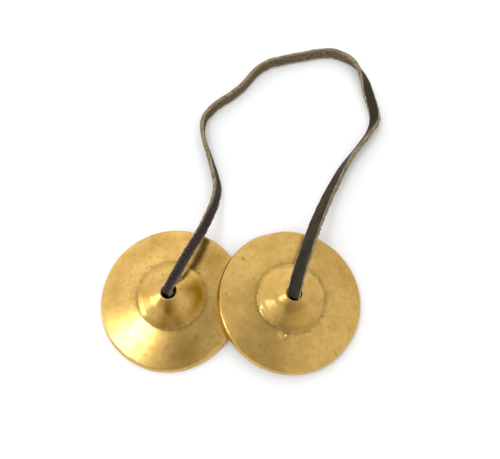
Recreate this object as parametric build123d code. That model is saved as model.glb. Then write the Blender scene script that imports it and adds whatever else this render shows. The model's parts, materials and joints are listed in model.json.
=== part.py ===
from build123d import *
import math
import os

# A pair of small thick brass cymbals joined by one leather strap, as it lies on
# a table. Millimetres. The origin is on the table, midway between the two
# cymbals; +X runs from the left cymbal to the right one, +Y towards the crown
# of the strap's loop, +Z up. The left cymbal lies flat on its rim. The right
# one leans: its left edge rests on the left cymbal's flange.

# Driving dimensions
CYMBAL_RADIUS = 32.5
CENTRE_SPACING = 53.0       # between the two cymbals' axes, at the table
RIM_THICKNESS = 3.0
CYMBAL_HEIGHT = 13.3        # table to the lip of the hole
HOLE_RADIUS = 3.05
REST_GAP = 0.3              # left between the two cymbals where one leans on the other

STRAP_WIDTH = 5.3
STRAP_THICKNESS = 1.9
STRAP_RADIUS = STRAP_WIDTH / 2      # the strap's solids are round tubes as wide as the strap
PIVOT_HEIGHT = 15.0         # above a cymbal's rim: where the strap bends out of the hole
JOINT_GAP = 0.3             # between the strap's rounded end and the socket round it

# Outline of the cymbal, as (radius, height) corners with the radius that rounds each
FLANGE_EDGE = (31.6, RIM_THICKNESS)
BOSS_FOOT = (14.9, 5.55)
OUTER_CORNERS = [
    ((CYMBAL_RADIUS, 0), 0.3),
    ((CYMBAL_RADIUS, 1.3), 0.8),        # the rim's side leans in above this
    (FLANGE_EDGE, 0.7),
    (BOSS_FOOT, 2.4),
    ((12.7, 7.2), 6.0),                 # shoulder of the boss
    ((7.8, 9.6), 12.0),                 # where the boss flares up into the nipple
    ((3.75, CYMBAL_HEIGHT), 0.3),       # lip
    ((HOLE_RADIUS, CYMBAL_HEIGHT), 0.25),
]
INNER_CORNERS = [
    ((HOLE_RADIUS, 8.0), 0.5),
    ((8.5, 6.7), 3.0),
    ((11.6, 5.1), 1.5),
    ((13.4, 3.2), 1.0),
    ((28.4, 0.85), 0.8),
    ((29.0, 0), 0.3),                   # inner edge of the flat rim
]

# The knot that keeps a cymbal on the strap, and the cut end that sticks out of it
KNOT_RADIUS = 4.9
KNOT_HEIGHT = 5.0
KNOT_ROUNDING = 2.2
KNOT_CENTRE = 5.2           # above the rim
NECK_RADIUS = 2.2           # the strap, gathered round, where it passes up the hole
TAIL_REACH = 11.3           # from the cymbal's axis to the cut end
TAIL_HEIGHT = 3.2           # above the rim, at the knot
TAIL_DROOP = 4.0            # degrees
LEFT_TAIL_HEADING = 205.0   # degrees about the cymbal's axis, from +X
RIGHT_TAIL_HEADING = 330.0

# The strap's route: the corners between the left hole, the crown and the right
# hole. On the table it stands on edge, half its width up.
LAID = 2.7
LEFT_CORNERS = [
    (-24.4, 4.4, 20.0),
    (-19.6, 14.5, 18.8),
    (-13.4, 29.0, 13.6),
    (-7.6, 52.0, 3.4),
    (-10.6, 66.0, LAID),
    (-20.0, 91.5, LAID),
    (-13.4, 103.8, LAID),
    (0.5, 114.0, LAID),
    (12.5, 130.7, LAID),
    (26.5, 137.0, LAID),
]
CROWN = (40.25, 140.4, LAID)
RIGHT_CORNERS = [
    (50.5, 142.9, LAID),
    (62.0, 138.2, LAID),
    (68.6, 129.0, LAID),
    (71.2, 112.0, LAID),
    (74.8, 97.5, LAID),
    (68.8, 85.6, LAID),
    (57.0, 71.0, LAID),
    (48.2, 54.5, 4.4),
    (39.6, 36.0, 12.0),
    (32.4, 15.6, 20.0),
    (29.2, 4.7, 22.4),
]


def flange_height(radius):
    """Height of the flange's upper face above the rim plane, on its straight slope."""
    slope = (BOSS_FOOT[1] - FLANGE_EDGE[1]) / (FLANGE_EDGE[0] - BOSS_FOOT[0])
    return FLANGE_EDGE[1] + slope * (FLANGE_EDGE[0] - radius)


def lean_angle():
    """Angle, in degrees, that puts the right cymbal's far edge on the left one's flange."""
    touch_radius = CENTRE_SPACING - CYMBAL_RADIUS
    return math.degrees(math.asin((flange_height(touch_radius) + REST_GAP) / (2 * CYMBAL_RADIUS)))


def cymbal_places():
    """Where the middle of each cymbal's rim plane sits, and how it is turned."""
    lean = lean_angle()
    left = Pos(-CENTRE_SPACING / 2, 0, 0)
    lift = CYMBAL_RADIUS * math.sin(math.radians(lean))
    right = Pos(CENTRE_SPACING / 2, 0, lift) * Rot(0, lean, 0)
    return left, right


def make_cymbal():
    corners = OUTER_CORNERS + INNER_CORNERS
    outline = FilletPolyline(
        [(radius, 0, height) for (radius, height), _ in corners],
        radius=[rounding for _, rounding in corners],
        close=True,
    )
    return revolve(make_face(outline), Axis.Z)


def make_knot():
    """The knot and the neck of strap above it, up to the socket at the pivot."""
    bun = Pos(0, 0, KNOT_CENTRE) * Cylinder(KNOT_RADIUS, KNOT_HEIGHT)
    bun = fillet(bun.edges().filter_by(GeomType.CIRCLE), KNOT_ROUNDING)
    neck_length = PIVOT_HEIGHT - KNOT_CENTRE
    neck = Pos(0, 0, KNOT_CENTRE + neck_length / 2) * Cylinder(NECK_RADIUS, neck_length)
    socket = Pos(0, 0, PIVOT_HEIGHT) * Sphere(STRAP_RADIUS + JOINT_GAP)
    return bun + neck - socket


def make_tail(heading, knot):
    """The strap's cut end: a flat strip that leaves the knot under the boss."""
    strip = Pos(TAIL_REACH / 2, 0, 0) * Box(TAIL_REACH, STRAP_WIDTH, STRAP_THICKNESS)
    laid = Rot(0, 0, heading) * Pos(0, 0, TAIL_HEIGHT) * Rot(0, TAIL_DROOP, 0) * strip
    return laid - knot


def corner_radii(route):
    """The largest arc that each corner's shorter run leaves room for."""
    radii = []
    for before, corner, after in zip(route, route[1:], route[2:]):
        run_in = Vector(corner) - Vector(before)
        run_out = Vector(after) - Vector(corner)
        half_turn = math.radians(run_in.get_angle(run_out) / 2)
        radii.append(0.45 * min(run_in.length, run_out.length) / math.tan(half_turn))
    return radii


def make_tube(name, route):
    """A round tube along the route, its corners rounded by tangent arcs."""
    radii = corner_radii(route)
    path = FilletPolyline(route, radius=radii)
    section = Plane(origin=path @ 0, z_dir=path % 0) * Circle(STRAP_RADIUS)
    tube = sweep(section, path=path)
    filled = tube.volume / (math.pi * STRAP_RADIUS ** 2 * path.length)
    print(name, "length", round(path.length, 1), "volume over section times length", round(filled, 4))
    print(name, "radii", [round(radius, 1) for radius in radii])
    return tube


def make_strap(left_pivot, right_pivot):
    """Both halves of the strap. The left half's rounded end turns in the right half's socket."""
    ball = Sphere(STRAP_RADIUS)
    socket = Sphere(STRAP_RADIUS + JOINT_GAP)
    left = make_tube("strap_left", [left_pivot] + LEFT_CORNERS + [CROWN])
    left = left + Pos(*left_pivot) * ball + Pos(*CROWN) * ball
    right = make_tube("strap_right", [CROWN] + RIGHT_CORNERS + [right_pivot])
    right = right - Pos(*CROWN) * socket + Pos(*right_pivot) * ball
    return left, right


def main():
    left_place, right_place = cymbal_places()
    pivot = Pos(0, 0, PIVOT_HEIGHT)
    left_pivot = tuple((left_place * pivot).position)
    right_pivot = tuple((right_place * pivot).position)
    print("lean", round(lean_angle(), 3), "pivots", left_pivot, right_pivot)

    cymbal = make_cymbal()
    knot = make_knot()
    strap_left, strap_right = make_strap(left_pivot, right_pivot)
    nodes = {
        "left_cymbal": left_place * cymbal,
        "right_cymbal": right_place * cymbal,
        "left_knot": left_place * knot,
        "right_knot": right_place * knot,
        "left_tail": left_place * make_tail(LEFT_TAIL_HEADING, knot),
        "right_tail": right_place * make_tail(RIGHT_TAIL_HEADING, knot),
        "strap_left": strap_left,
        "strap_right": strap_right,
    }
    os.makedirs("parts", exist_ok=True)
    for name, solid in nodes.items():
        solid.label = name
        export_step(solid, f"parts/{name}.step")


main()
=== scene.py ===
import json
import math
import random

import bpy
from mathutils import Matrix, Vector, noise


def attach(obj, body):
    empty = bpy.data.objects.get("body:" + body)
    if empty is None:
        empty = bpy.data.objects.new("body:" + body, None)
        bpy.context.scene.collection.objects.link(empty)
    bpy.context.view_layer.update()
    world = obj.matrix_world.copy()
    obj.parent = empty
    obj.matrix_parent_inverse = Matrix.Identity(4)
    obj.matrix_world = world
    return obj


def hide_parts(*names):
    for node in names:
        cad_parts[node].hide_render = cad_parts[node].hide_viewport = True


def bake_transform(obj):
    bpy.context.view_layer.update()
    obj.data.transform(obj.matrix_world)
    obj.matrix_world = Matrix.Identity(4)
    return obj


# A pair of small brass cymbals joined by a leather strap. Blender's lengths are
# metres. Sizes below are in millimetres and are multiplied by MM where they are used.
MM = 0.001

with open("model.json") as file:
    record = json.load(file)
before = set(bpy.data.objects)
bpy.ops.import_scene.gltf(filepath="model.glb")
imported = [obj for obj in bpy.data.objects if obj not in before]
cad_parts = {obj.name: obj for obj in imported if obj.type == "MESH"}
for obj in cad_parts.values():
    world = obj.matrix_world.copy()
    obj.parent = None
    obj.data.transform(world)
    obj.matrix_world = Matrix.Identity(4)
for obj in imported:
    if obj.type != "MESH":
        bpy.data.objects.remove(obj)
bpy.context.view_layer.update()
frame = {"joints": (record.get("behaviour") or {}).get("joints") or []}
joints = {joint["name"]: joint for joint in frame["joints"]}

# Camera
CAMERA_TARGET = (8.0, 34.4, 0)
CAMERA_DISTANCE = 209.5
CAMERA_ELEVATION = 69.2             # degrees above the table
CAMERA_ROLL = 1.3                   # degrees
CAMERA_LENS = 31.0                  # for a sensor 36 wide

# Light: how bright the room is, and the softbox on the left
ROOM = 1.02
ROOM_BEHIND = 0.4                   # added towards the back, on the left
KEY_GLOW = 0.9                      # added round the key light
WINDOW_GLOW = 5.0                   # added round a window low on the left
CAMERA_SHADE = 0.46                 # the room's brightness where the camera is, against 1 elsewhere
STAND_SHADE = 0.7                   # the same, low in front, where the camera's stand is
OVERHEAD_SHADE = 0.85               # how much of the camera's shade lies overhead
KEY_DIRECTION = (-0.43, -0.085, 0.9)

# Strap
STRAP_WIDTH = 5.3
STRAP_THICKNESS = 2.1
STRAP_LENGTH = 360.0
CUT_ROUNDING = 0.4                  # of the two corners beside its smooth face
LAID = 3.0                          # height of the strap's middle where it stands on edge
RING_STEP = 0.4                     # between two rings of the strap's mesh
HEADING_REACH = 12                  # rings each way that give the strap's level direction
FLOOR_GAP = 0.02                    # the least height of any point of the strap

# The strap's route from the left hole to the right one
ROUTE = [
    (-26.7, -0.5, 13.0),
    (-26.6, -0.4, 17.0),
    (-23.6, 4.9, 18.0),
    (-19.6, 14.5, 17.6),
    (-13.4, 29.0, 13.0),
    (-7.6, 52.0, 3.4),
    (-11.2, 66.0, LAID),
    (-20.2, 91.2, LAID),
    (-13.1, 103.5, LAID),
    (0.7, 113.7, LAID),
    (11.7, 131.5, LAID),
    (26.5, 136.6, LAID),
    (40.25, 140.0, LAID),
    (50.4, 142.5, LAID),
    (62.0, 138.2, LAID),
    (68.6, 129.0, LAID),
    (71.2, 112.0, LAID),
    (74.2, 97.0, LAID),
    (67.9, 86.2, LAID),
    (56.3, 71.3, LAID),
    (47.6, 54.7, 4.4),
    (39.1, 36.1, 11.5),
    (31.6, 15.6, 19.0),
    (27.8, 4.0, 20.4),
    (26.9, -0.9, 19.2),
    (26.9, -1.1, 15.5),
]

# The strap's turn about its own line: (distance along it, degrees). At 0 its smooth
# face looks down, at 90 out of the loop, at 180 up and at 270 into the loop.
TURNS = [
    (0, 0),
    (20, 10),
    (42, 38),
    (60, 55),
    (96, 88),
    (113, 78),
    (138, 76),
    (167, 73),
    (185, 68),
    (196, 75),
    (203, 90),
    (211, 115),
    (221, 150),
    (230, 180),
    (238, 195),
    (247, 216),
    (256, 250),
    (272, 254),
    (283, 238),
    (297, 222),
    (316, 209),
    (338, 197),
    (352, 188),
]

# The strap is cut by hand: (distance along it, width)
WIDTHS = [
    (0, 3.4),
    (8, 4.2),
    (32, 4.4),
    (62, 4.8),
    (180, 4.8),
    (215, 5.3),
    (320, 5.7),
    (362, 5.7),
]
TUFTS = 420                         # loose fibres along its edges
TUFT_SEED = 5
BARE_RINGS = 14                     # at each end that carry no fibres, where it is held in a hole

# The knot under each boss
KNOT_SIZE = 1.1                     # scale of the knot's curve, which reaches out to 3
KNOT_HEIGHT = 5.0                   # of its middle, above the rim plane
KNOT_RISE = 1.0                     # how far its passes go over and under that height
KNOT_STRIP = 3.0                    # width of the strap where it is pulled tight
KNOT_THICKNESS = 1.7
KNOT_TUFTS = 40
UPRIGHT = 0.85                      # the strap's rise, of 1, past which it counts as standing up

# One cymbal's outline: (radius, height) corners with the radius that rounds each
PIVOT_HEIGHT = 15.0                 # from the rim plane to where the strap bends
OUTLINE = [
    ((32.5, 0), 0.3),
    ((32.5, 1.3), 0.8),
    ((31.6, 3.0), 0.7),
    ((14.9, 5.55), 2.4),
    ((12.7, 7.2), 6.0),
    ((7.8, 9.6), 12.0),
    ((3.75, 13.3), 0.3),
    ((3.05, 13.3), 0.25),
    ((3.05, 8.0), 0.5),
    ((8.5, 6.7), 3.0),
    ((11.6, 5.1), 1.5),
    ((13.4, 3.2), 1.0),
    ((28.4, 0.85), 0.8),
    ((29.0, 0), 0.3),
]
FLARE = 5                           # which of them flares up into the nipple
LEFT_FLARE = (8.0, 9.75)            # the two castings differ a little there
RIGHT_FLARE = (7.2, 10.1)
LIP_CORNERS = 8                     # how many of them lie on the side that is seen
FLAT_BELOW = 0.4                    # up to this height the rim is ground flat
CREASE_RADIUS = 15.3                # where the boss meets the flange and dirt gathers
CYMBAL_SIDES = 448
OUTLINE_STEP = 0.45
ARC_STEPS = 6

# Small marks strewn over each cymbal, besides those listed below
DENTS = 34
SPECKS = 26

# Casting pits and dents: (degrees round it, distance from its axis, size, depth, darkness)
LEFT_PITS = [
    (114, 9.4, 0.3, 0.1, 0.8),
    (123, 20.7, 0.35, 0.12, 0.7),
    (129, 17.0, 0.4, 0.12, 0.8),
    (135, 17.4, 0.3, 0.1, 0.7),
    (135, 26.6, 0.3, 0.1, 0.4),
    (149, 20.3, 0.3, 0.1, 0.5),
    (42, 15.8, 0.4, 0.14, 0.9),
    (19, 5.4, 0.35, 0.1, 0.9),
    (56, 8.2, 0.3, 0.1, 0.6),
    (43, 22.7, 0.3, 0.1, 0.4),
    (86, 19.3, 0.25, 0.08, 0.4),
    (103, 23.2, 0.25, 0.08, 0.4),
]
RIGHT_PITS = [
    (142, 27.3, 0.6, 0.2, 0.7),
    (165, 26.9, 0.25, 0.1, 0.7),
    (179, 28.0, 0.5, 0.12, 0.4),
    (96, 27.1, 0.3, 0.1, 0.5),
    (59, 23.1, 0.35, 0.12, 0.7),
    (-155, 15.9, 0.5, 0.25, 0.9),
    (-160, 15.0, 0.7, 0.3, 0),
    (-168, 15.6, 0.6, 0.25, 0.1),
    (-177, 14.9, 0.7, 0.2, 0),
    (-103, 16.8, 1.5, 0.5, 0),
    (-64, 16.2, 0.35, 0.15, 0.8),
    (-60, 16.6, 0.3, 0.12, 0.8),
    (-31, 15.3, 0.3, 0.12, 0.8),
    (117, 22.1, 0.3, 0.1, 0.3),
]
# Brown patina mixed with painted shade and painted reflections: (degrees round it, distance from its
# axis, size, depth)
LEFT_PATINA_AND_SHADE = [
    # on the flange: patina, and painted shade where it mirrors the dark part of the room round the
    # camera
    (-75, 25.0, 8.0, 0.4),
    (-40, 26.0, 8.0, 0.1),
    (0, 24.0, 8.0, 0.35),
    # painted shadow of the strap, with patina
    (48, 24.0, 7.0, 0.5),
    (90, 8.0, 4.0, 0.25),
    # ring on the boss's right shoulder: painted reflection of the right cymbal's dark rim, with patina
    (-42, 12.8, 2.9, 0.5),
    (-24, 12.8, 2.9, 0.65),
    (-6, 12.8, 2.9, 0.7),
    (12, 12.8, 2.9, 0.65),
    (30, 12.8, 2.9, 0.5),
    (15, 8.5, 3.2, 0.7),
    # the boss's front, down from the lip: painted reflection of the camera and its stand, with patina
    (-68, 12.0, 3.4, 0.65),
    (-100, 12.5, 3.0, 0.5),
    (-90, 9.0, 3.0, 0.4),
    (-90, 5.0, 1.6, 0.5),
    (-90, 7.5, 1.8, 0.5),
    (-56, 21.8, 1.2, 0.4),
]
RIGHT_PATINA_AND_SHADE = [
    (175, 9.0, 5.0, 0.25),
    # the boss's front, down from the lip: painted reflection of the camera and its stand, with patina
    (-110, 12.5, 3.0, 0.45),
    (-80, 9.5, 3.4, 0.4),
    (-115, 5.5, 1.6, 0.35),
    (-110, 8.0, 1.8, 0.35),
    (165, 16.0, 2.0, 0.2),
]
# Flats worn on a rim: (degrees round it, half the width in degrees, depth)
LEFT_FLATS = [(-44, 14, 0.7), (-66, 10, 0.35), (168, 12, 0.2)]
RIGHT_FLATS = [(-38, 12, 0.3), (104, 10, 0.35), (78, 9, 0.25)]


def link(name, data):
    thing = bpy.data.objects.new(name, data)
    bpy.context.scene.collection.objects.link(thing)
    return thing


def make_camera():
    lens = bpy.data.cameras.new("camera")
    lens.lens = CAMERA_LENS
    lens.sensor_width = 36
    lens.clip_start = 0.01
    camera = link("camera", lens)
    elevation = math.radians(CAMERA_ELEVATION)
    back = Vector((0, -math.cos(elevation), math.sin(elevation)))
    camera.location = (Vector(CAMERA_TARGET) + back * CAMERA_DISTANCE) * MM
    level = (-back).to_track_quat("-Z", "Y").to_matrix()
    roll = Matrix.Rotation(math.radians(CAMERA_ROLL), 3, "Z")
    camera.rotation_euler = (level @ roll).to_euler()
    bpy.context.scene.camera = camera


# ---------------------------------------------------------------- strap


def route_line(controls):
    """Points along the NURBS spline that has these control points."""
    curve = bpy.data.curves.new("route", "CURVE")
    curve.dimensions = "3D"
    spline = curve.splines.new("NURBS")
    spline.points.add(len(controls) - 1)
    for point, place in zip(spline.points, controls):
        point.co = (*place, 1)
    spline.order_u = 3
    spline.use_endpoint_u = True
    spline.resolution_u = 24
    holder = link("route", curve)
    mesh = bpy.data.meshes.new_from_object(holder)
    line = [vertex.co.copy() for vertex in mesh.vertices]
    bpy.data.objects.remove(holder)
    return line


def even_points(line, step):
    """The line again as evenly spaced points, each with its distance along it."""
    distances = [0]
    for before, after in zip(line, line[1:]):
        distances.append(distances[-1] + (after - before).length)
    length = distances[-1]
    count = round(length / step)
    points = []
    index = 0
    for number in range(count + 1):
        wanted = length * number / count
        while index < len(line) - 2 and distances[index + 1] < wanted:
            index += 1
        share = (wanted - distances[index]) / (distances[index + 1] - distances[index])
        points.append((wanted, line[index].lerp(line[index + 1], share)))
    return points


def read_off(pairs, distance):
    """The value at a distance, between the values that the pairs give."""
    for (start, first), (end, second) in zip(pairs, pairs[1:]):
        if distance <= end:
            return first + (second - first) * (distance - start) / (end - start)
    return pairs[-1][1]


# The strap's faces, as the numbers of its materials
GRAIN = 0
EDGE = 1
FLESH = 2


def strap_section(thickness):
    """The strap's outline across, as (along its width, through its thickness, face)."""
    side = STRAP_WIDTH / 2
    top = thickness / 2
    steps = 8
    edge = []
    for angle in (30, 60, 90):
        out = side - CUT_ROUNDING + CUT_ROUNDING * math.sin(math.radians(angle))
        up = top - CUT_ROUNDING + CUT_ROUNDING * math.cos(math.radians(angle))
        edge.append((out, up, EDGE))
    edge.append((side, -0.2, EDGE))
    edge.append((side, -top + 0.25, EDGE))
    grain = [(step / steps * (side - CUT_ROUNDING), top, GRAIN) for step in range(-steps, steps + 1)]
    flesh = [(step / steps * (side - 0.1), -top, FLESH) for step in range(steps, -steps - 1, -1)]
    other_edge = [(-x, y, face) for x, y, face in reversed(edge)]
    return grain + edge + flesh + other_edge


def strip_mesh(name, path, section, widths, tuft_count):
    """A closed strip that carries the section along the path: (distance, centre, along, up)."""
    vertices = []
    marks = []
    for distance, centre, ahead, normal in path:
        across = ahead.cross(normal)
        widen = read_off(widths, distance) / STRAP_WIDTH
        for x, y, face in section:
            dx, dy = ragged(distance, x, y, face)
            point = centre + across * (x * widen + dx) + normal * (y + dy)
            point.z = max(point.z, FLOOR_GAP)
            vertices.append(point * MM)
            marks += [distance, x, y]
    sides = len(section)
    faces = []
    materials = []
    for ring in range(len(path) - 1):
        for side in range(sides):
            after = (side + 1) % sides
            low = ring * sides
            high = low + sides
            faces.append((low + side, low + after, high + after, high + side))
            pair = (section[side][2], section[after][2])
            materials.append(pair[0] if pair[0] == pair[1] else EDGE)
    last = (len(path) - 1) * sides
    faces.append(tuple(range(sides))[::-1])
    faces.append(tuple(range(last, last + sides)))
    materials += [EDGE, EDGE]

    chance = random.Random(TUFT_SEED)
    bare_ends_off = path[BARE_RINGS:-BARE_RINGS]
    for _ in range(tuft_count):
        add_tuft(chance, bare_ends_off, widths, vertices, marks, faces, materials)
    mesh = bpy.data.meshes.new(name)
    mesh.from_pydata(vertices, [], faces)
    mesh.polygons.foreach_set("material_index", materials)
    mesh.polygons.foreach_set("use_smooth", [True] * len(faces))
    mesh.attributes.new("lie", "FLOAT_VECTOR", "POINT").data.foreach_set("vector", marks)
    mesh.update()
    return mesh


def add_tuft(chance, path, widths, vertices, marks, faces, materials):
    """One loose fibre that sticks out of an edge."""
    distance, centre, ahead, normal = chance.choice(path)
    across = ahead.cross(normal)
    out = chance.choice((-1, 1))
    half = read_off(widths, distance) / 2
    depth = chance.uniform(-0.95, 0.2)
    root = centre + across * out * (half - 0.15) + normal * depth
    lean = across * out + ahead * chance.uniform(-1.2, 1.2) - normal * chance.uniform(0, 0.8)
    tip = root + lean.normalized() * chance.uniform(0.35, 1.1)
    root.z = max(root.z, 0.4)
    tip.z = max(tip.z, 0.05)
    thick = chance.uniform(0.08, 0.16)
    start = len(vertices)
    for point in (root + ahead * thick, root - ahead * thick, root + normal * thick * 1.5, tip):
        vertices.append(point * MM)
        marks += [distance, out * half, depth]
    for corners in ((0, 1, 3), (1, 2, 3), (2, 0, 3), (0, 2, 1)):
        faces.append(tuple(start + corner for corner in corners))
        materials.append(chance.choice((EDGE, FLESH)))


def ragged(distance, x, y, face):
    """How far a point of the strap is from a clean cut, across it and through it.

    The whole strap sways a little. Its edges are frayed, most of all beside the rough face."""
    sway = 0.3 * noise.noise(Vector((distance / 6, 0, 33)))
    if face == GRAIN:
        return sway, 0.03 * noise.noise(Vector((distance / 3, x / 1.5, 4)))
    out = math.copysign(1, x)
    fuzz = noise.fractal(Vector((distance / 0.9, x / 0.9, y)), 0.8, 2.2, 3)
    lumps = noise.noise(Vector((distance / 2.3, out * 5, 9)))
    if face == EDGE:
        low = 1 - smooth_step(-0.9, 0.6, y)
        return sway + out * (0.18 + 0.4 * low) * (0.5 * fuzz + 0.6 * lumps), 0
    ridge = noise.noise(Vector((distance / 1.6 + x / 2, x / 1.3, 21)))
    rim = smooth_step(1.6, 2.6, abs(x))
    return sway + out * rim * 0.55 * (0.5 * fuzz + 0.6 * lumps), 0.2 * fuzz + 0.16 * ridge


def smooth_step(low, high, value):
    share = min(max((value - low) / (high - low), 0), 1)
    return share * share * (3 - 2 * share)


def strap_path(points):
    """(distance, centre, along, normal of the smooth face) at each of the points."""
    path = []
    last = len(points) - 1
    for index, (distance, centre) in enumerate(points):
        ahead = (points[min(index + 1, last)][1] - points[max(index - 1, 0)][1]).normalized()
        far = points[min(index + HEADING_REACH, last)][1]
        near = points[max(index - HEADING_REACH, 0)][1]
        down = Vector((0, 0, 1)).cross(far - near).cross(ahead).normalized()
        outward = ahead.cross(down)
        turn = math.radians(read_off(TURNS, distance))
        path.append((distance, centre, ahead, down * math.cos(turn) + outward * math.sin(turn)))
    return path


def knot_route(tail_turn, flip):
    """The end of the strap under a boss, about the cymbal's axis.

    It runs down the hole facing +X, round a flat overhand knot and out of it as a
    tail. flip is 1 or -1, the way round that the knot is tied."""
    route = [(0, 0, 14.6), (0, 0, 11.5), (-0.2, -1.0 * flip, 8.6), (0.0, -1.1 * flip, 6.4)]
    for degrees in range(24, 300, 12):
        turn = math.radians(degrees)
        x = KNOT_SIZE * (math.sin(turn) + 2 * math.sin(2 * turn))
        y = KNOT_SIZE * (math.cos(turn) - 2 * math.cos(2 * turn))
        route.append((x, y * flip, KNOT_HEIGHT - KNOT_RISE * math.sin(3 * turn)))
    heading = math.radians(tail_turn)
    out = Vector((math.cos(heading), math.sin(heading), 0))
    for reach, height in ((5.0, 3.5), (8.0, 3.1), (11.2, 2.8)):
        route.append((out.x * reach, out.y * reach, height))
    return route


def rim_place(cymbal):
    """Where the middle of a cymbal's rim plane is, and how the cymbal is turned."""
    joint = joints[cymbal + "_spin"]
    axis = Vector(joint["axis"]).normalized()
    base = Vector(joint["pos_m"]) / MM - axis * PIVOT_HEIGHT
    return base, Vector((0, 0, 1)).rotation_difference(axis).to_matrix()


def make_knot(side, facing, tail_turn, flip, materials):
    """The neck, knot and tail at one end of the strap. Angles are about the cymbal's axis."""
    base, lean = rim_place(side + "_cymbal")
    turn = lean @ Matrix.Rotation(math.radians(facing), 3, "Z")
    points = even_points(route_line(knot_route(tail_turn - facing, flip)), RING_STEP)
    last = len(points) - 1
    path = []
    for index, (distance, centre) in enumerate(points):
        ahead = (points[min(index + 1, last)][1] - points[max(index - 1, 0)][1]).normalized()
        up = Vector((1, 0, 0)) if abs(ahead.z) > UPRIGHT else Vector((0, 0, 1))
        normal = (up - ahead * up.dot(ahead)).normalized()
        path.append((distance, base + turn @ centre, turn @ ahead, turn @ normal))
    length = points[-1][0]
    widths = [
        (0, 4.2),
        (7, 3.6),
        (10, KNOT_STRIP),
        (length - 10, KNOT_STRIP),
        (length - 5, 5.0),
        (length, STRAP_WIDTH),
    ]
    section = strap_section(KNOT_THICKNESS)
    mesh = strip_mesh(side + "_strap_end", path, section, widths, KNOT_TUFTS)
    for material in materials:
        mesh.materials.append(material)
    piece = link(side + "_strap_end", mesh)
    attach(piece, side + "_knot")
    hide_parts(side + "_knot", side + "_tail")
    return piece


def make_strap(materials):
    points = even_points(route_line(ROUTE), RING_STEP)
    mesh = strip_mesh("strap", strap_path(points), strap_section(STRAP_THICKNESS), WIDTHS, TUFTS)
    for material in materials:
        mesh.materials.append(material)
    strap = link("strap", mesh)
    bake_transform(strap)
    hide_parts("strap_left", "strap_right")
    print("strap length", round(points[-1][0], 1))


# ---------------------------------------------------------------- cymbals


def rounded(corners):
    """A closed outline as points, its corners turned into arcs and its runs divided."""
    stretches = []
    for index, (corner, radius) in enumerate(corners):
        place = Vector(corner)
        back = (Vector(corners[index - 1][0]) - place).normalized()
        on = (Vector(corners[(index + 1) % len(corners)][0]) - place).normalized()
        half = back.angle(on) / 2
        middle = place + (back + on).normalized() * radius / math.sin(half)
        first = place + back * radius / math.tan(half) - middle
        turn = first.angle_signed(place + on * radius / math.tan(half) - middle)
        arc = []
        for step in range(ARC_STEPS + 1):
            arc.append(middle + Matrix.Rotation(-turn * step / ARC_STEPS, 2) @ first)
        stretches.append(arc)
    points = []
    upper_count = 0
    for index, (arc, after) in enumerate(zip(stretches, stretches[1:] + stretches[:1])):
        points += arc
        run = after[0] - arc[-1]
        count = max(1, round(run.length / OUTLINE_STEP))
        points += [arc[-1] + run * step / count for step in range(1, count)]
        if index < LIP_CORNERS:
            upper_count = len(points)
    return points, upper_count


def bell(distance, width):
    """1 at no distance, falling smoothly to nothing well past the width."""
    return math.exp(-((distance / width) ** 2))


def turned_from(angle, other):
    """Degrees between two directions, 0 to 180."""
    return abs((angle - other + 180) % 360 - 180)


class Wear:
    """How one cymbal's hand-finished surface differs from its turned outline, with its patina and
    painted shade.
    """

    def __init__(self, seed, pits, flats, patinas_and_shades):
        chance = random.Random(seed)
        self.offset = Vector((seed * 37.0, seed * 11.0, 0))     # so that no two cymbals wear alike
        self.pits = [(self.spot(*pit[:2]), *pit[2:]) for pit in pits]
        for _ in range(DENTS):
            spot = self.spot(chance.uniform(0, 360), chance.uniform(9, 31))
            self.pits.append((spot, chance.uniform(1.2, 2.6), chance.uniform(0.006, 0.02), 0.0))
        for _ in range(SPECKS):
            spot = self.spot(chance.uniform(0, 360), chance.uniform(8, 31))
            self.pits.append((spot, chance.uniform(0.2, 0.3), 0.05, chance.uniform(0.2, 0.6)))
        self.flats = flats
        self.patinas_and_shades = [(self.spot(angle, radius), size, depth) for angle, radius, size, depth in patinas_and_shades]

    def spot(self, angle, radius):
        return Vector((math.cos(math.radians(angle)), math.sin(math.radians(angle)))) * radius

    def at(self, radius, height, out, upper):
        """(change of radius, change of height, darkness of the pit) at a point."""
        angle = math.degrees(math.atan2(out.y, out.x))
        along = out * radius + self.offset
        wave = noise.noise(along / 12) * 0.025 + noise.noise(along / 5) * 0.005
        rise = wave * smooth_step(4, 9, radius) * (1 - smooth_step(29, 32, radius))
        drift = 0.35 * noise.noise(out * 2.2 + self.offset) * bell(radius - 14, 3.5)
        edge = smooth_step(30.2, 31.4, radius)
        cut = sum(depth * bell(turned_from(angle, place), width) for place, width, depth in self.flats)
        drift += edge * (0.1 * noise.noise(out * 4 + self.offset) - cut)
        dark = 0
        if upper:
            place = Vector((out.x, out.y)) * radius
            for spot, size, depth, darkness in self.pits:
                away = (place - spot).length
                if away < 3 * size:
                    rise -= depth * bell(away, size)
                    dark = max(dark, darkness * bell(away, size))
        return drift, rise if upper else 0.3 * rise, dark

    def patina_and_shade(self, place):
        """How brown it is, 0 to 1: patina mixed with painted shade and painted reflections."""
        brown = 0
        for spot, size, depth in self.patinas_and_shades:
            brown += depth * bell((place - spot).length, size)
        return min(brown, 1)


def shell_faces(count):
    """Faces between each outline of that many points and the next, all the way round."""
    faces = []
    for side in range(CYMBAL_SIDES):
        here = side * count
        there = (side + 1) % CYMBAL_SIDES * count
        for index in range(count):
            after = (index + 1) % count
            faces.append((here + index, there + index, there + after, here + after))
    return faces


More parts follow.
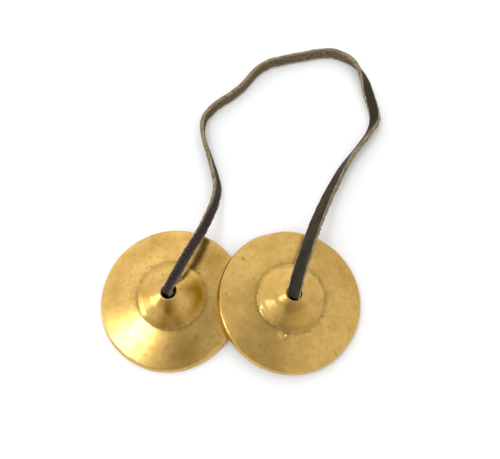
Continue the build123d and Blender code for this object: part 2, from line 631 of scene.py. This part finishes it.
def make_cymbal(name, material, wear, flare):
    corners = list(OUTLINE)
    corners[FLARE] = (flare, OUTLINE[FLARE][1])
    outline, upper_count = rounded(corners)
    base, lean = rim_place(name)
    vertices = []
    marks = []
    pits = []
    patinas_and_shades = []
    for side in range(CYMBAL_SIDES):
        angle = 2 * math.pi * side / CYMBAL_SIDES
        out = Vector((math.cos(angle), math.sin(angle), 0))
        for index, (radius, height) in enumerate(outline):
            drift, rise, dark = wear.at(radius, height, out, index < upper_count)
            if height < FLAT_BELOW:
                rise = 0
            place = out * (radius + drift) + Vector((0, 0, height + rise))
            vertices.append((base + lean @ place) * MM)
            marks += [radius, out.x, out.y]
            pits.append(dark)
            # how brown each point is: patina mixed with painted shade and painted reflections
            patinas_and_shades.append(wear.patina_and_shade(Vector((out.x, out.y)) * radius))
    faces = shell_faces(len(outline))
    mesh = bpy.data.meshes.new(name + "_shell")
    mesh.from_pydata(vertices, [], faces)
    mesh.polygons.foreach_set("use_smooth", [True] * len(faces))
    mesh.attributes.new("turned", "FLOAT_VECTOR", "POINT").data.foreach_set("vector", marks)
    mesh.attributes.new("pit", "FLOAT", "POINT").data.foreach_set("value", pits)
    mesh.attributes.new("patina_and_shade", "FLOAT", "POINT").data.foreach_set("value", patinas_and_shades)
    mesh.materials.append(material)
    mesh.update()
    piece = link(name + "_shell", mesh)
    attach(piece, name)
    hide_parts(name)


# ---------------------------------------------------------------- materials


class Nodes:
    """A node tree, with short ways to add to it."""

    def __init__(self, tree):
        self.tree = tree

    def feed(self, socket, value):
        if isinstance(value, bpy.types.NodeSocket):
            self.tree.links.new(value, socket)
        else:
            socket.default_value = value

    def math(self, operation, first, second=0.0):
        made = self.tree.nodes.new("ShaderNodeMath")
        made.operation = operation
        self.feed(made.inputs[0], first)
        self.feed(made.inputs[1], second)
        return made.outputs[0]


class Graph(Nodes):
    """A material's node tree, built from the shader back."""

    def __init__(self, name):
        self.material = bpy.data.materials.new(name)
        self.material.use_nodes = True
        super().__init__(self.material.node_tree)
        self.tree.nodes.clear()
        output = self.tree.nodes.new("ShaderNodeOutputMaterial")
        self.shader = self.tree.nodes.new("ShaderNodeBsdfPrincipled")
        self.tree.links.new(self.shader.outputs[0], output.inputs["Surface"])

    def node(self, kind, settings=None, **inputs):
        made = self.tree.nodes.new("ShaderNode" + kind)
        for name, value in (settings or {}).items():
            setattr(made, name, value)
        for name, value in inputs.items():
            self.feed(made.inputs[name.replace("_", " ")], value)
        return made

    def place(self):
        return self.node("TexCoord").outputs["Object"]

    def noise(self, vector, scale, detail=2.0, roughness=0.5):
        made = self.node("TexNoise", Vector=vector, Scale=scale, Detail=detail, Roughness=roughness)
        return made.outputs["Fac"]

    def stretch(self, vector, scale):
        made = self.node("Mapping", Vector=vector, Scale=scale)
        return made.outputs["Vector"]

    def ramp(self, value, *stops):
        """Colours or numbers at places from 0 to 1."""
        made = self.node("ValToRGB", Fac=value)
        elements = made.color_ramp.elements
        while len(elements) < len(stops):
            elements.new(0.5)
        for element, (position, colour) in zip(elements, stops):
            element.position = position
            element.color = colour if isinstance(colour, tuple) else (colour, colour, colour, 1)
        return made.outputs["Color"]

    def mix(self, share, first, second, blend="MIX"):
        made = self.tree.nodes.new("ShaderNodeMix")
        made.data_type = "RGBA"
        made.blend_type = blend
        self.feed(made.inputs["Factor"], share)
        self.feed(made.inputs["A"], first)
        self.feed(made.inputs["B"], second)
        return made.outputs["Result"]

    def bump(self, height, distance, strength=1.0, normal=None):
        made = self.node("Bump", Height=height, Distance=distance, Strength=strength)
        if normal:
            self.tree.links.new(normal, made.inputs["Normal"])
        return made.outputs["Normal"]

    def finish(self, **inputs):
        for name, value in inputs.items():
            self.feed(self.shader.inputs[name.replace("_", " ")], value)
        return self.material


def colour(red, green, blue):
    """A colour given as it looks on a screen, 0 to 255, as the shader wants it."""
    linear = []
    for value in (red, green, blue):
        value /= 255
        linear.append(value / 12.92 if value <= 0.04045 else ((value + 0.055) / 1.055) ** 2.4)
    return (*linear, 1)


def brass(name, gold, tarnish, brown, dirt, offset):
    """Hand-finished brass: clouds of tarnish, brown patina mixed with painted shade and painted
    reflections, dirt in the crease and in the pits.
    """
    graph = Graph(name)
    place = graph.node("Mapping", Vector=graph.place(), Location=(offset, offset, 0)).outputs[0]
    turned = graph.node("Attribute", {"attribute_name": "turned"}).outputs["Vector"]
    pit = graph.node("Attribute", {"attribute_name": "pit"}).outputs["Fac"]
    radius = graph.node("SeparateXYZ", Vector=turned).outputs["X"]

    patches = graph.noise(place, 70, 3, 0.6)
    tint = graph.mix(graph.ramp(patches, (0.4, 0.0), (0.7, 0.75)), gold, tarnish)
    mottle = graph.noise(place, 420, 3, 0.65)
    tint = graph.mix(graph.ramp(mottle, (0.45, 0.0), (0.75, 0.6)), tint, tarnish)

    creases = graph.math("ABSOLUTE", graph.math("SUBTRACT", radius, CREASE_RADIUS))
    near_crease = graph.ramp(graph.math("DIVIDE", creases, 3.0), (0.0, 0.7), (0.55, 0.0))
    tint = graph.mix(graph.math("MULTIPLY", near_crease, mottle), tint, dirt)

    # brown patina, mixed with painted shade and painted reflections of the camera, its stand and the
    # other cymbal
    patina_and_shade = graph.node("Attribute", {"attribute_name": "patina_and_shade"}).outputs["Fac"]
    tint = graph.mix(patina_and_shade, tint, brown)

    cells = graph.node("TexVoronoi", Vector=place, Scale=300.0)
    speck = graph.ramp(cells.outputs["Distance"], (0.06, 1.0), (0.13, 0.0))
    chosen = graph.node("SeparateColor", Color=cells.outputs["Color"]).outputs["Red"]
    speck = graph.math("MULTIPLY", speck, graph.math("GREATER_THAN", chosen, 0.72))
    spots = graph.math("MAXIMUM", graph.math("MULTIPLY", speck, 0.6), graph.math("MULTIPLY", pit, 0.9))
    tint = graph.mix(spots, tint, dirt)

    rough = graph.math("ADD", graph.math("MULTIPLY", mottle, 0.1), 0.16)
    rough = graph.math("ADD", rough, graph.math("MULTIPLY", spots, 0.25))

    hand = graph.bump(graph.noise(place, 260, 2, 0.5), 0.35 * MM, 0.035)
    grain = graph.bump(graph.noise(place, 2200, 3, 0.7), 0.05 * MM, 0.6, hand)
    rubbed = graph.stretch(turned, (3.5, 5.0, 5.0))
    normal = graph.bump(graph.noise(rubbed, 1.0, 2, 0.6), 0.03 * MM, 0.5, grain)
    return graph.finish(
        Base_Color=tint,
        Metallic=1.0,
        Roughness=rough,
        Normal=normal,
    )


def leather_grain():
    """The smooth dyed face: a soft sheen, fine pores and slightly uneven dye."""
    graph = Graph("leather_grain")
    lie = graph.node("Attribute", {"attribute_name": "lie"}).outputs["Vector"]
    cloudy = graph.noise(graph.stretch(lie, (0.12, 0.4, 0.4)), 1.0, 3, 0.6)
    pores = graph.node("TexVoronoi", Vector=lie, Scale=3.0).outputs["Distance"]
    light = graph.ramp(cloudy, (0.3, 0.0), (0.7, 1.0))
    tint = graph.mix(light, colour(36, 31, 23), colour(62, 54, 39))
    soft = graph.bump(graph.noise(lie, 1.2, 2, 0.5), 0.08 * MM, 0.5)
    return graph.finish(
        Base_Color=tint,
        Roughness=0.55,
        Specular_IOR_Level=0.1,
        Normal=graph.bump(graph.ramp(pores, (0.0, 0.0), (0.3, 1.0)), 0.03 * MM, 0.6, soft),
    )


def leather_edge():
    """The raw cut edge: pale fibres that run along it, with dye and dirt between them."""
    graph = Graph("leather_edge")
    lie = graph.node("Attribute", {"attribute_name": "lie"}).outputs["Vector"]
    strands = graph.noise(graph.stretch(lie, (0.22, 0.8, 2.6)), 1.0, 4, 0.65)
    clumps = graph.noise(graph.stretch(lie, (0.6, 0.8, 1.4)), 1.0, 4, 0.7)
    pale = graph.ramp(strands, (0.35, 0.0), (0.64, 1.0))
    tan = graph.mix(pale, colour(88, 75, 53), colour(182, 167, 130))
    dirty = graph.ramp(clumps, (0.5, 0.0), (0.64, 0.9))
    return graph.finish(
        Base_Color=graph.mix(dirty, tan, colour(72, 60, 48)),
        Roughness=0.9,
        Specular_IOR_Level=0.2,
        Normal=graph.bump(strands, 0.35 * MM, 0.8, graph.bump(clumps, 0.5 * MM, 0.7)),
    )


def leather_flesh():
    """The rough face: brown nap, with paler fibres that stand up in clumps and along its borders."""
    graph = Graph("leather_flesh")
    lie = graph.node("Attribute", {"attribute_name": "lie"}).outputs["Vector"]
    split = graph.node("SeparateXYZ", Vector=lie).outputs
    sideways = graph.math("DIVIDE", graph.math("ABSOLUTE", split["Y"]), STRAP_WIDTH / 2)
    border = graph.ramp(sideways, (0.5, 0.0), (1.0, 0.2))
    handled = graph.ramp(graph.math("DIVIDE", split["X"], STRAP_LENGTH), (0.12, 0.0), (0.35, 1.0))
    clumps = graph.noise(graph.stretch(lie, (0.8, 1.1, 1.0)), 1.0, 4, 0.65)
    fibres = graph.noise(graph.stretch(lie, (1.6, 2.4, 2.0)), 1.0, 4, 0.75)
    deep = graph.mix(handled, colour(43, 36, 34), colour(72, 60, 49))
    worn = graph.mix(handled, colour(66, 57, 55), colour(138, 121, 96))
    tint = graph.mix(graph.ramp(clumps, (0.4, 0.0), (0.62, 1.0)), deep, worn)
    raised = graph.ramp(graph.math("ADD", fibres, border), (0.54, 0.0), (0.72, 0.9))
    tint = graph.mix(raised, tint, graph.mix(handled, colour(122, 112, 106), colour(150, 136, 110)))
    soft = graph.bump(clumps, 0.7 * MM, 0.8)
    return graph.finish(
        Base_Color=tint,
        Roughness=0.95,
        Specular_IOR_Level=0.05,
        Normal=graph.bump(fibres, 0.35 * MM, 0.8, soft),
    )


# ---------------------------------------------------------------- surroundings


def make_floor():
    mesh = bpy.data.meshes.new("floor")
    half = 1.5
    corners = [(-half, -half, 0), (half, -half, 0), (half, half, 0), (-half, half, 0)]
    mesh.from_pydata(corners, [], [(0, 1, 2, 3)])
    floor = link("floor", mesh)
    graph = Graph("floor")
    mesh.materials.append(graph.finish(Base_Color=(0.95, 0.95, 0.95, 1), Roughness=0.9))


def softbox(name, direction, distance, width, height, power):
    """A soft light that looks at the object from that direction."""
    data = bpy.data.lights.new(name, "AREA")
    data.shape = "RECTANGLE"
    data.size = width
    data.size_y = height
    data.energy = power
    data.color = (0.9, 0.95, 1)
    lamp = link(name, data)
    towards = Vector(direction).normalized()
    lamp.location = towards * distance
    lamp.rotation_euler = towards.to_track_quat("Z", "Y").to_euler()


class Sky(Nodes):
    """The room's brightness, as nodes that work on the direction looked in."""

    def __init__(self):
        self.world = bpy.data.worlds.new("studio")
        self.world.use_nodes = True
        super().__init__(self.world.node_tree)
        self.direction = self.tree.nodes.new("ShaderNodeTexCoord").outputs["Generated"]
        split = self.tree.nodes.new("ShaderNodeSeparateXYZ")
        self.tree.links.new(self.direction, split.inputs[0])
        self.x, self.y, self.z = split.outputs

    def ease(self, value, low, high, start, end):
        """From start to end as the value goes from low to high, levelling off at both."""
        made = self.tree.nodes.new("ShaderNodeMapRange")
        made.interpolation_type = "SMOOTHSTEP"
        self.tree.links.new(value, made.inputs["Value"])
        for name, setting in (("From Min", low), ("From Max", high), ("To Min", start), ("To Max", end)):
            made.inputs[name].default_value = setting
        return made.outputs["Result"]

    def multiply(self, first, second):
        return self.math("MULTIPLY", first, second)

    def away_from(self, place):
        made = self.tree.nodes.new("ShaderNodeVectorMath")
        made.operation = "DISTANCE"
        self.tree.links.new(self.direction, made.inputs[0])
        made.inputs[1].default_value = place
        return made.outputs["Value"]


def camera_shade(sky):
    """1 where the camera and the arm behind it are, 0 where they aren't."""
    sideways = sky.math("ABSOLUTE", sky.math("ADD", sky.x, 0.08))
    reach = sky.math("SUBTRACT", 0.13, sky.multiply(sky.y, 0.45))
    across = sky.ease(sky.math("DIVIDE", sideways, reach), 0.7, 1.15, 1, 0)
    along = sky.multiply(sky.ease(sky.y, -0.2, 0.02, 1, 0), sky.ease(sky.y, -0.55, -0.36, 0.3, 1))
    overhead = sky.ease(sky.away_from((0.06, 0.06, 0.99)), 0.12, 0.34, 1, 0)
    return sky.math("MAXIMUM", sky.multiply(overhead, OVERHEAD_SHADE), sky.multiply(across, along))


def stand_shade(sky):
    """1 low in front, where the camera's stand is, 0 elsewhere."""
    aside = sky.math("ABSOLUTE", sky.x)
    rise = sky.math("ADD", sky.z, sky.multiply(aside, 0.6))
    return sky.multiply(sky.ease(rise, 0.64, 0.78, 1, 0), sky.ease(sky.y, -0.5, -0.34, 1, 0))


def make_world():
    """A pale room: brighter to the left and behind, dark where the camera and its stand are."""
    sky = Sky()
    slant = sky.math("SUBTRACT", sky.y, sky.multiply(sky.x, 0.5))
    behind = sky.ease(slant, 0.35, 0.7, 0, ROOM_BEHIND)
    glow = sky.ease(sky.away_from((-0.5, -0.02, 0.865)), 0.05, 0.2, KEY_GLOW, 0)
    window = sky.ease(sky.away_from((-0.95, -0.2, 0.2)), 0.08, 0.32, WINDOW_GLOW, 0)
    room = sky.math("ADD", sky.math("ADD", sky.math("ADD", behind, glow), window), ROOM)
    past_camera = sky.math("SUBTRACT", 1, sky.multiply(camera_shade(sky), 1 - CAMERA_SHADE))
    past_stand = sky.math("SUBTRACT", 1, sky.multiply(stand_shade(sky), 1 - STAND_SHADE))
    strength = sky.multiply(sky.multiply(room, past_camera), past_stand)
    background = sky.tree.nodes["Background"]
    sky.tree.links.new(strength, background.inputs["Strength"])
    background.inputs["Color"].default_value = (1, 1, 1, 1)
    bpy.context.scene.world = sky.world


def make_lights():
    softbox("key", KEY_DIRECTION, distance=0.8, width=0.07, height=0.22, power=0.9)
    bpy.context.scene.view_settings.view_transform = "Standard"


make_camera()
leather = [leather_grain(), leather_edge(), leather_flesh()]
strap_ends = [
    make_knot("left", 64.5, 205, -1, leather),
    make_knot("right", 71.8, 330, 1, leather),
]
make_strap(leather)
left_brass = brass(
    "brass_left",
    gold=colour(214, 177, 104),
    tarnish=colour(176, 138, 64),
    brown=colour(140, 101, 16),
    dirt=colour(72, 50, 20),
    offset=0.0,
)
right_brass = brass(
    "brass_right",
    gold=colour(208, 171, 98),
    tarnish=colour(176, 140, 72),
    brown=colour(142, 106, 26),
    dirt=colour(72, 52, 22),
    offset=0.3,
)
left_wear = Wear(1, LEFT_PITS, LEFT_FLATS, LEFT_PATINA_AND_SHADE)
right_wear = Wear(2, RIGHT_PITS, RIGHT_FLATS, RIGHT_PATINA_AND_SHADE)
make_cymbal("left_cymbal", left_brass, left_wear, LEFT_FLARE)
make_cymbal("right_cymbal", right_brass, right_wear, RIGHT_FLARE)
make_floor()
make_world()
make_lights()
